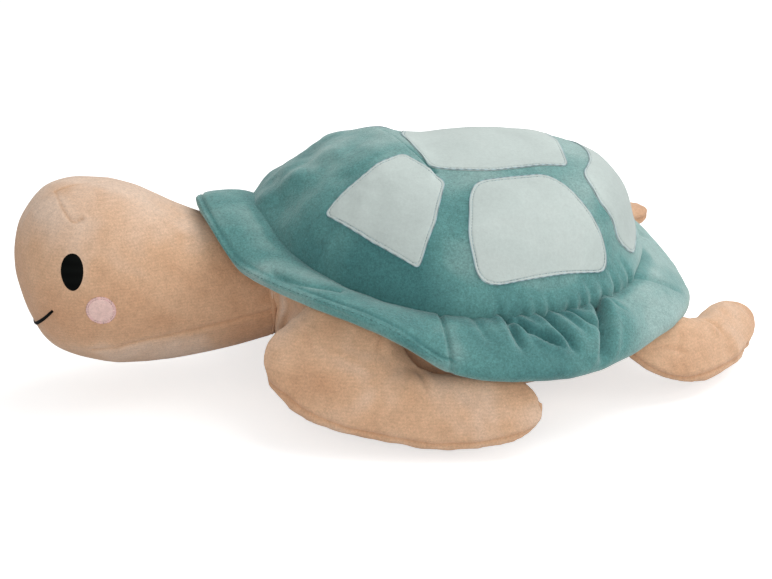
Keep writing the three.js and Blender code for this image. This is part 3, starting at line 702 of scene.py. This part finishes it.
def make_rim():
    """The padded rim: a tube around the shell, with the folds, puffs and seams of its cloth."""
    angle = circle(RIM_COLUMNS)
    turn = circle(RIM_ROWS)
    middle, wide, thick, arch, outward, upward = rim_station(angle)
    sine, share = np.sin(turn)[None, :], np.cos(turn)[None, :]
    rise = np.sign(sine) * np.abs(sine) ** RIM_FLATNESS * thick[:, None] + arch[:, None] * sine**2
    run_out = share * wide[:, None]
    grid = middle[:, None] + outward[:, None] * run_out[..., None] + upward[:, None] * rise[..., None]
    flat, x = grid.reshape(-1, 3), grid[..., 0]
    degrees = signed_degrees(angle)[:, None]
    top, outer_half = smooth(sine, -0.1, 0.35), fading(share, 0.2, 0.9)

    change = 2.0 * fading(degrees, -54, -44) * smooth(degrees, -90, -84) * top * outer_half
    # valley marks the fold grooves, for the painted shade in them
    valley = np.zeros_like(change)
    for place, half, deep, high, lean in RIM_FOLDS:
        off = degrees - place - lean * share
        window = smooth(share, -1.1, -0.8) * fading(share, high - 0.1, high + 0.3) * top
        sides = trough(off - 2.8 * half, half * 1.3) + trough(off + 2.8 * half, half * 1.3)
        change += (0.3 * sides - trough(off, half)) * deep * window
        valley += trough(off, half * 1.3) * window * min(1, deep / 5)
    for place, half, height in RIM_PUFFS:
        change += height * trough(degrees - place, half) * smooth(share, -0.95, -0.45) * outer_half * top

    off, _ = distance_to(flat, fine_line(COLLAR_FOLD))
    off = off.reshape(change.shape)
    change += (0.9 * trough(off - 7, 5) - 2.4 * trough(off, 2.2)) * top
    valley += 0.6 * trough(off, 2.4) * top
    change -= 3.2 * trough(x - RIM_SEAM_X, 1.6) * smooth(sine, -0.3, 0.2)
    on_hem = fading(x, RIM_SEAM_X - 2, RIM_SEAM_X + 6) * smooth(sine, 0.0, 0.2)
    inset = (1 - share) * wide[:, None]
    change += (0.4 * trough(inset - 1.5, 2.2) - 1.5 * trough(inset - RIM_HEM, 0.9)) * on_hem
    valley += 0.8 * trough(inset - RIM_HEM, 1.0) * on_hem
    change += 3.5 * smooth(share, 0.3, 1.0) * smooth(degrees, -86, -60) * fading(degrees, 15, 40)
    bumps = mottled(flat, (1.1, 38, 7), (0.7, 15, 8)).reshape(change.shape)
    below = smooth(0.35 * fading(x, -60, -30) - sine, 0, 0.3)
    bumps -= (bumps + np.abs(bumps) + 1.2) * below
    way = upward[:, None] * sine[..., None] + outward[:, None] * share[..., None]
    grid = grid + unit(way) * (change + bumps)[..., None]

    rim = lattice("rim_plush", grid, wrap_rows=True, flip=True)
    dress(rim, TEAL, SAGE)
    under = sine[0] < -0.3
    for face in rim.data.polygons:
        if all(under[v % len(turn)] for v in face.vertices):
            face.material_index = 1
    # Painted shade and light: lighter towards the tail and a little at the collar, darker along the middle of
    # each side, in the fold valleys, the collar fold and the hem groove, along the inner edge where the rim
    # meets the dome, and in a painted shade spot on the collar; with random cloudy tone
    tail, middle_band, collar = smooth(x, 130, 210), fading(np.abs(x - 60), 20, 60), fading(x, -80, -30)
    shade_and_tone = 0.9 * tail - 0.35 * middle_band + 0.1 * collar - 0.8 * (valley + fading(share, -0.62, -0.3) * top)
    shade_and_tone = shade_and_tone.ravel() + mottled(flat, (0.32, 42, 5), (0.2, 15, 6))
    shade_and_tone -= 0.6 * trough(np.linalg.norm(flat - COLLAR_SHADE_PLACE, axis=1), COLLAR_SHADE_RADIUS)
    paint_shade_and_tone(rim, shade_and_tone)
    row = int(np.argmin(np.abs(turn - math.radians(RIM_HEM_TURN))))
    on_front = np.where(grid[:, row, 0] < RIM_SEAM_X - RIM_HEM_END)[0]
    stitch = stitches("rim_stitch", grid[on_front, row], upward[on_front], TEAL_THREAD,
                      length=3.0, gap=0.9, radius=0.3, lift=-0.1)
    return joined("rim_plush", [rim, stitch])


# Head

def neck_share(x):
    return (NECK_END - x) / (NECK_END - HEAD_MIDDLE)


def head_reach(x, full, neck, squareness):
    forward = np.clip((HEAD_MIDDLE - x) / HEAD_LENGTH, 0, 1)
    face = full * (1 - forward**squareness) ** (1 / squareness)
    back = full - (full - neck) * np.clip(1 - neck_share(x), 0, 1) ** NECK_TAPER
    return np.where(x < HEAD_MIDDLE, face, back)


def head_axis(x):
    return NECK_HEIGHT + HEAD_RISE * np.clip(neck_share(x), 0, None) ** HEAD_RISE_POWER


HEAD_COLUMNS, HEAD_ROWS, SOCKET_ROWS, NECK_PLEATS = 260, 84, 26, 17
HEAD_BUMPS = [(-272, 48, 27, 5.5), (-290, 158, 27, -5.5), (-205, 158, 26, 3.0)]  # x, z, radius, height


def make_head():
    """Head and neck in one skin, closed by a hollow socket round the neck's stuffing."""
    around = circle(HEAD_COLUMNS)
    face = HEAD_MIDDLE - HEAD_LENGTH * np.cos(np.linspace(0.02, math.pi / 2, HEAD_ROWS))
    back = np.linspace(HEAD_MIDDLE, NECK_END, HEAD_ROWS)[1:]
    x = np.concatenate([face, back])
    half_width = head_reach(x, HEAD_HALF_WIDTH, NECK_HALF_WIDTH, HEAD_PLAN_SQUARENESS)
    half_height = head_reach(x, HEAD_RADIUS, NECK_RADIUS, HEAD_SQUARENESS)
    left, down, level = -np.sin(around), -np.cos(around), np.ones_like(around)
    grid = np.stack([x[:, None] * level, half_width[:, None] * left,
                     head_axis(x)[:, None] + half_height[:, None] * down], axis=-1)
    polar = np.radians(np.linspace(66, 4, SOCKET_ROWS))[:, None]
    socket = NECK_PIVOT + SOCKET_RADIUS * np.stack(
        [-np.cos(polar) * level, np.sin(polar) * left, np.sin(polar) * down], axis=-1)
    head = lattice("head_plush", np.concatenate([grid, socket]), start_pole=True, end_pole=True, flip=True)
    points, _ = read(head)
    x, y, z = points.T
    outer = np.arange(len(points)) < grid.shape[0] * grid.shape[1]
    outer[-2] = True  # the pole at the nose
    amounts, shade = mottled(points, (0.9, 42, 11), (0.35, 16, 12)), np.zeros(len(points))
    for bump_x, bump_z, radius, height in HEAD_BUMPS:
        amounts += height * trough(np.hypot(x - bump_x, z - bump_z), radius)
    body = tree_of(head)

    def on_head(path):
        return np.array([body.find_nearest(Vector(p))[0] for p in fine_line(path)])

    # The seams sink as grooves, with painted shade along them
    for side in (-1, 1):
        inward = Vector((0, -side, 0))
        hits = [body.ray_cast(Vector((sx, side * 200, sz)), inward)[0] for sx, sz in GUSSET_SEAM]
        off, _ = distance_to(points, on_head([tuple(hit) for hit in hits if hit is not None]))
        amounts += 0.5 * trough(off - 5.0, 3.0) - 1.0 * trough(off, 1.0)
        shade -= 0.6 * trough(off, 1.3)
    off, _ = distance_to(points, on_head(TOP_SEAM))
    amounts -= 0.8 * trough(off, 0.9)
    shade -= 0.5 * trough(off, 1.2)
    off, share = distance_to(points, on_head(DART))
    amounts += 0.9 * share**2 * trough(off - 3.5, 2.2) - (0.5 + 0.7 * share**2) * trough(off, 0.9)
    shade -= 0.45 * trough(off, 1.1)
    # Painted light on the crown of the head and painted shade at the throat under the collar; a paler strip
    # past the top seam, a paler underside towards the face and darker towards the neck, a darker band at mid
    # height and a darker muzzle; with random cloudy tone
    seam_x, seam_y, _ = np.array(TOP_SEAM, float).T
    seam_y = np.interp(x, seam_x, seam_y)
    crown = 0.9 * smooth(z, 118, 165) + 0.45 * smooth(y - seam_y, 0, 2) * smooth(z, 130, 145)
    muzzle, throat = fading(x, -275, -225) * fading(z, 145, 170), smooth(x, -170, -100)
    gusset = (1.3 * fading(x, -170, -120) - 0.4) * fading(z, 50, 66)
    shade += crown + gusset - 0.25 * trough(z - 80, 26) - 0.45 * muzzle - 0.6 * throat
    shade += mottled(points, (0.4, 45, 13), (0.15, 14, 15))
    # Painted shade and light on the pleats at the neck end, and painted shade at the very end where it goes
    # into the body
    near_end = smooth(x, NECK_END - 20, NECK_END - 1)
    pleat = np.sin(np.arctan2(y, -(z - NECK_HEIGHT)) * NECK_PLEATS)
    amounts += 0.3 * pleat * near_end - 0.9 * smooth(x, NECK_END - 5, NECK_END)
    shade += 0.35 * pleat * near_end - 0.6 * smooth(x, NECK_END - 4, NECK_END)
    under_collar = smooth(x, -190, -145) * smooth(z, 60, 90)
    amounts += (np.minimum(amounts, 0) - 1.8 - 0.8 * smooth(z, 110, 130) - amounts) * under_collar
    push(head, np.where(outer, amounts, 0))
    return dress(paint_shade_and_tone(head, shade), FACE)


EYE_DEPTHS = [0, 0.25, 0.7, 1.4, 2.6, 4.2, 6, 7.6]
CHEEK_DEPTHS = [0, 0.3, 0.8, 1.3, 1.7, 2.1, 2.6, 3.4, 4.6, 6.5, 8.5, 10.5]
CHEEK_STITCH_RINGS, CHEEK_STITCH_DEPTH = (1, 4), 1.7
EYE_EGG = 0.07


def eye_height(depth):
    return -0.3 + 1.5 * (1 - math.exp(-depth / 0.8))


def cheek_height(depth):
    groove = 0.55 * math.exp(-((depth - CHEEK_STITCH_DEPTH) / 0.45) ** 2)
    return -0.3 + 1.2 * (1 - math.exp(-depth / 0.5)) - groove


def disc_on(name, tree, feature, side, depths, height_at, egg=0.0):
    """An oval on a surface, on side -1 or 1: a ring for each depth in from the edge, raised by height_at."""
    facing = unit(np.array(feature["facing"], float) * (1, -side, 1))
    at = np.array(feature["at"], float) * (1, -side, 1)
    right = unit(np.array([-facing[1], facing[0], 0]))
    up = np.cross(facing, right)
    if up[2] < 0:
        up = -up
    around = circle(96)
    half = np.array([feature["width"] / 2, feature["height"] / 2])
    rows = []
    for depth in depths:
        shrink = np.maximum(0.0, 1 - depth / half.min())
        u = half[0] * shrink * np.cos(around) * (1 + egg * np.sin(around))
        v = half[1] * shrink * np.sin(around)
        hits, ways = laid_on(tree, at + np.outer(u, right) + np.outer(v, up) + facing * 40, -facing)
        rows.append(hits + ways * height_at(depth))
    grid = np.array(rows)
    flip = np.dot(np.cross(right, up), facing) < 0
    return lattice(name, grid, end_pole=True, flip=flip), grid


def make_smile(tree):
    around = np.radians(np.linspace(-90 - SMILE_HALF_ANGLE, -90 + SMILE_HALF_ANGLE, 90))
    arc = np.column_stack([SMILE_RADIUS * np.cos(around), SMILE_HEIGHT + SMILE_RADIUS * np.sin(around)])
    spine, ways = laid_on(tree, np.insert(arc, 0, -400, axis=1), (1, 0, 0))
    across = unit(np.cross(unit(np.gradient(spine, axis=0)), ways))
    half = SMILE_STROKE / 2 * (0.7 + 0.35 * np.sin(np.linspace(0, 1, len(around)) * math.pi) ** 0.5)
    ring = circle(14)
    tube = (spine[:, None] + across[:, None] * (np.cos(ring)[None, :] * half[:, None])[..., None]
            + ways[:, None] * (0.9 * np.sin(ring)[None, :] * np.minimum(half, 1.0)[:, None] + 0.2)[..., None])
    smile = lattice("smile_stitched", tube, start_pole=True, end_pole=True, flip=True)
    return dress(smile, BLACK)


def make_face(head):
    tree = tree_of(head)
    pieces = []
    for label, side in (("left", -1), ("right", 1)):
        eye, _ = disc_on(f"eye_stitched_{label}", tree, EYE, side, EYE_DEPTHS, eye_height, egg=EYE_EGG)
        dress(eye, BLACK)
        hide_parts(f"eye_{label}")
        cheek, grid = disc_on(f"cheek_patch_{label}", tree, CHEEK, side, CHEEK_DEPTHS, cheek_height)
        dress(cheek, PINK)
        facing = unit(np.array(CHEEK["facing"]) * (1, -side, 1))
        rings = [np.concatenate([grid[k], grid[k][:1]]) for k in CHEEK_STITCH_RINGS]
        rings = [stitches("ring", ring, np.tile(facing, (len(ring), 1)), PINK_THREAD,
                          length=1.7, gap=0.5, radius=0.3, lift=0.25) for ring in rings]
        cheek = joined(f"cheek_patch_{label}", [cheek, *rings])
        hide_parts(f"cheek_{label}")
        pieces += [eye, cheek]
    smile = make_smile(tree)
    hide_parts("mouth_smile")
    for piece in [*pieces, smile]:
        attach(piece, "head")


# Flippers

def between(s, low, high, a, b):
    """In a straight line from a, where s is low, to b, where it is high."""
    return ((high - s) * a + (s - low) * b) / (high - low)


def closed_spline(corners, count):
    """Centripetal Catmull-Rom loop through the corners, sampled evenly along its length."""
    corners = np.array(corners, float)
    count_corners = len(corners)
    dense = []
    for i in range(count_corners):
        p = [corners[(i + k - 1) % count_corners] for k in range(4)]
        t = np.cumsum([0.0] + [np.linalg.norm(b - a) ** 0.5 for a, b in zip(p, p[1:])])
        for s in np.linspace(t[1], t[2], 40, endpoint=False):
            a = [between(s, t[k], t[k + 1], p[k], p[k + 1]) for k in range(3)]
            b = [between(s, t[k], t[k + 2], a[k], a[k + 1]) for k in range(2)]
            dense.append(between(s, t[1], t[2], *b))
    return resampled(np.array(dense + dense[:1]), count)


def resampled(path, count):
    """Points evenly along a closed path, and its length."""
    run = run_of(path)
    return sampled(np.linspace(0, run[-1], count, endpoint=False), run, path), run[-1]


def make_flipper(corner, flipper, mirror, seed):
    outline, around = closed_spline(flipper["outline"], 320)
    heart = np.array(flipper["heart"], float)
    most = flipper["thick"] - FLIPPER_SEAM_ROOM

    def ring(climb, sign):
        flat = heart + (outline - heart) * (math.cos(climb) ** FLIPPER_ROUNDNESS + flipper["plump"])
        height = sign * most * math.sin(climb) ** FLIPPER_FULLNESS
        return np.pad(flat, ((0, 0), (0, 1)), constant_values=((0, 0), (0, height)))

    climb = climbs(16, 24, 34, 88.5)
    grid = np.stack([ring(c, 1) for c in climb[::-1]] + [ring(c, -1) for c in climb[1:]])
    obj = lattice(f"{corner}_flipper_plush", grid, start_pole=True, end_pole=True, flip=True)
    inflate(obj)
    base, normals = read(obj)
    surface = tree_of(obj)
    rise = 5.0 * smooth(-outline[:, 1], 55, 75)
    inward = (1 - rise / np.linalg.norm(outline - heart, axis=1))[:, None]
    seam = np.column_stack([heart + (outline - heart) * inward, rise * 1.5])
    seam = np.array([surface.find_nearest(Vector(p))[0] for p in seam])
    off, share = distance_to(base, seam)
    along = np.outer(share * around, (1, 0, 0)) + (0, 0, seed * 31.0)
    pucker = np.maximum(0, cloudy(along, 9, seed))
    amounts = mottled(base, (1.3, 32, seed + 3), (0.8, 12, seed + 4))
    amounts -= 1.1 * trough(off, 1.4) + 1.2 * pucker * trough(off, 6.0)
    for crease in flipper["creases"]:
        line = fine_line(np.pad(crease, ((0, 0), (0, 1))))
        away, along = distance_to(base * (1, 1, 0), line)
        fade = np.sin(math.pi * np.clip(along, 0, 1)) ** 0.5 * smooth(base[:, 2], -2, 4)
        amounts -= fade * (1.3 * trough(away, 2.0) - 0.8 * trough(away - 5, 3.5))
    amounts += 0.8 * trough(off - 4, 2.5)
    # Painted shade along the seam groove and towards the root and the tip, with random cloudy tone
    root_shade, tip_shade = trough(base[:, 0] + 25, 30), trough(base[:, 0] - 150, 18)
    shade_and_tone = mottled(base, (0.45, 38, seed + 5), (0.2, 13, seed + 6)) - 0.7 * trough(off, 1.4)
    paint_shade_and_tone(obj, shade_and_tone - 0.45 * root_shade - 0.4 * tip_shade)
    place = Matrix.Translation(flipper["root"])
    for turn, axis in (("yaw", "Z"), ("slope", "Y"), ("tilt", "X")):
        place = place @ Matrix.Rotation(math.radians(flipper[turn]), 4, axis)
    place = np.array(place)
    points = (base + normals * amounts[:, None]) @ place[:3, :3].T + place[:3, 3]
    if mirror:
        points[:, 1] *= -1
        obj.data.flip_normals()
    write(obj, points)
    return dress(obj, FACE)


# Patches

def rounded(corners, radius):
    """The closed outline through the corners, with each corner rounded off."""
    corners = [np.array(c, float) for c in corners]
    path = []
    for i, corner in enumerate(corners):
        before, after = corners[i - 1], corners[(i + 1) % len(corners)]
        enter = corner + (before - corner) * min(0.5, radius / np.linalg.norm(before - corner))
        leave = corner + (after - corner) * min(0.5, radius / np.linalg.norm(after - corner))
        for s in np.linspace(0, 1, 9):
            path.append((1 - s) ** 2 * enter + 2 * s * (1 - s) * corner + s**2 * leave)
    path.append(path[0])
    return np.array(path)


PATCH_EDGE_DEPTH, PATCH_SEAM_DEPTH, PATCH_POINTS = 0.35, 2.4, 300
PATCH_DEPTHS = [0, 0.15, PATCH_EDGE_DEPTH, 0.6, 1.0, 1.5, 1.9, 2.2, PATCH_SEAM_DEPTH,
                2.6, 2.9, 3.4, 4.2, 6, 8, 11]
PATCH_MIDDLE_DEPTH, PATCH_MIDDLE_SHARES = 30, np.linspace(0.88, 0.06, 12)
PATCH_RAY = 70


def patch_height(depth):
    """Height of the patch over the dome: a bound edge, a stitched groove and a slightly padded middle."""
    past = depth - PATCH_SEAM_DEPTH
    lip = 1.0 * (1 - math.exp(-depth / 0.25)) - 0.5 * math.exp(-depth / 0.15)
    return lip - 0.45 * math.exp(-(past / 0.5) ** 2) + 0.3 * (1 - math.exp(-max(0, past) / 5))


def make_patch(name, patch, mirror, tree):
    """A patch sewn on the dome, and the area of its cloth."""
    flip = np.array([1, -1 if mirror else 1, 1])
    outward = unit(patch["facing"])
    right = unit(np.array([-outward[1], outward[0], 0]))
    up = np.cross(outward, right)
    outline, _ = resampled(rounded(patch["corners"], patch["corner"]), PATCH_POINTS)
    centre = outline.mean(axis=0)
    reach = np.linalg.norm(outline - centre, axis=1)
    rings = [(centre + (outline - centre) * (1 - depth / reach)[:, None], depth) for depth in PATCH_DEPTHS]
    last = rings[-1][0]
    rings += [(centre + (last - centre) * share, PATCH_MIDDLE_DEPTH) for share in PATCH_MIDDLE_SHARES]

    def laid(ring, depth):
        origins = (np.array(patch["at"]) + ring @ [right, up] + outward * PATCH_RAY) * flip
        hits, ways = laid_on(tree, origins, -outward * flip, fall=PATCH_RAY)
        return hits + ways * patch_height(depth), ways

    rows = [(depth, *laid(ring, depth)) for ring, depth in rings]
    x, y = outline.T
    is_clockwise = float(np.sum(x * np.roll(y, -1) - y * np.roll(x, -1))) < 0
    obj = lattice(name, np.stack([row for _, row, _ in rows]), end_pole=True, flip=is_clockwise != mirror)
    points, _ = read(obj)
    push(obj, 0.3 * cloudy(points, 20, 21))
    # Painted shade on the patches towards the tail end, with random cloudy tone
    paint_shade_and_tone(obj, mottled(points, (0.35, 40, 22), (0.15, 15, 23)) - 0.8 * smooth(points[:, 0], 150, 190))
    dress(obj, PALE)
    area = sum(face.area for face in obj.data.polygons)
    edge, seam = [(row, ways) for depth, row, ways in rows if depth in (PATCH_EDGE_DEPTH, PATCH_SEAM_DEPTH)]
    threads = [cord(name + "_edge", *edge, GREY_THREAD, radius=0.38, lift=0.05),
               stitches(name + "_seam", *seam, GREY_THREAD, length=2.4, gap=0.3, radius=0.24, lift=0.05)]
    return joined(name, [obj, *threads]), area


# Assembly

def stuffed(obj, body, slot, fill, *nodes):
    """Hides the nodes that a padded piece replaces and attaches it to its body; the colour slot and filling
    are not used.
    """
    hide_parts(*nodes)
    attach(obj, body)
    return obj


dome = stuffed(make_dome(), "shell_body", "teal_plush", 0.8, "dome_skin", "body_stuffing")
stuffed(make_belly(), "shell_body", "sand_plush", 0.8, "belly_skin", "neck_stuffing")
stuffed(make_rim(), "shell_body", "teal_plush", 0.5,
        *[f"rim_{end}_{part}" for end in ("front", "rear") for part in ("top", "under", "wadding")])
head = stuffed(make_head(), "head", "sand_plush", 0.85,
               "head_skin_left", "head_skin_right", "head_gusset", "head_stuffing")
make_face(head)

for corner, flipper, mirror, seed in (("front_left", FRONT_FLIPPER, False, 31),
                                      ("front_right", FRONT_FLIPPER, True, 37),
                                      ("rear_left", REAR_FLIPPER, False, 41),
                                      ("rear_right", RAISED_FLIPPER, True, 43)):
    stuffed(make_flipper(corner, flipper, mirror, seed), f"{corner}_flipper", "sand_plush", 0.7,
            *[f"{corner}_flipper_{part}" for part in ("top", "bottom", "stuffing")])

dome_tree = tree_of(dome)
for patch, ends in (("patch_top", [""]), ("patch_rear", [""]),
                    ("patch_front", ["_left", "_right"]), ("patch_side", ["_left", "_right"])):
    for end in ends:
        piece, area = make_patch(f"pale_{patch}{end}", PATCHES[patch], end == "_right", dome_tree)
        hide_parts(patch + end)
        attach(piece, "shell_body")


# Floor, light and camera, in metres

FLOOR_HALF, FLOOR_GREY, FLOOR_GLOW = 8, 0.75, 0.62
SKY_LIGHT, SKY_SEEN = 0.4, 1.0
CAMERA_AZIMUTH, CAMERA_ELEVATION, CAMERA_DISTANCE, CAMERA_AIM_HEIGHT = -10, 20, 1.25, 0.067
CAMERA_LENS, CAMERA_SENSOR = 70, 36
WHITE = (1, 1, 1, 1)


def stage():
    mesh = bpy.data.meshes.new("floor")
    corners = np.array([(-1, -1, 0), (1, -1, 0), (1, 1, 0), (-1, 1, 0)]) * FLOOR_HALF
    mesh.from_pydata(corners.tolist(), [], [(0, 1, 2, 3)])
    floor = placed("floor", mesh)
    material, nodes, shader = new_material("pale_floor")
    seen = new_node(nodes, "LightPath").outputs["Is Camera Ray"]
    glow = new_node(nodes, "Math", {0: seen, 1: FLOOR_GLOW}, operation="MULTIPLY").outputs[0]
    set_inputs(shader, {"Base Color": (FLOOR_GREY, FLOOR_GREY, FLOOR_GREY, 1), "Roughness": 0.9,
                        "Specular IOR Level": 0.1, "Emission Color": WHITE, "Emission Strength": glow})
    floor.data.materials.append(material)


def area_light(name, place, aim, size, power):
    data = bpy.data.lights.new(name, "AREA")
    data.shape, data.size, data.size_y = "RECTANGLE", size[0], size[1]
    data.energy = power
    lamp = placed(name, data)
    lamp.location = place
    lamp.rotation_euler = (Vector(aim) - Vector(place)).to_track_quat("-Z", "Y").to_euler()


def world():
    """White studio light; the camera sees it brighter than it shines."""
    sky = bpy.data.worlds.new("studio")
    bpy.context.scene.world = sky
    sky.use_nodes = True
    nodes = sky.node_tree.nodes
    shone = nodes["Background"]
    set_inputs(shone, {"Color": WHITE, "Strength": SKY_LIGHT})
    seen = new_node(nodes, "Background", {"Color": WHITE, "Strength": SKY_SEEN})
    path = new_node(nodes, "LightPath")
    mix = new_node(nodes, "MixShader", {"Fac": path.outputs["Is Camera Ray"], 1: shone.outputs["Background"],
                                        2: seen.outputs["Background"]})
    set_inputs(nodes["World Output"], {"Surface": mix.outputs["Shader"]})


def camera():
    azimuth, elevation = math.radians(CAMERA_AZIMUTH), math.radians(CAMERA_ELEVATION)
    back = Vector((math.sin(azimuth) * math.cos(elevation), -math.cos(azimuth) * math.cos(elevation),
                   math.sin(elevation)))
    target = Vector(ORIGIN) + Vector((0, 0, CAMERA_AIM_HEIGHT))
    data = bpy.data.cameras.new("camera")
    data.lens, data.sensor_width, data.sensor_fit = CAMERA_LENS, CAMERA_SENSOR, "HORIZONTAL"
    data.clip_start, data.clip_end = 0.05, 60
    eye = placed("camera", data)
    eye.location = target + back * CAMERA_DISTANCE
    eye.rotation_euler = back.to_track_quat("Z", "Y").to_euler()
    bpy.context.scene.camera = eye


stage()
world()
area_light("key", place=(0.75, 0.35, 1.5), aim=(0, 0, 0.1), size=(1.8, 1.8), power=21.6)
area_light("front", place=(-0.5, -2.2, 0.9), aim=(0, 0, 0.08), size=(1.8, 1.2), power=18)
area_light("right", place=(1.9, -0.9, 0.8), aim=(0.1, 0, 0.1), size=(1.0, 1.0), power=8)
camera()
bpy.context.scene.view_settings.view_transform = "Standard"
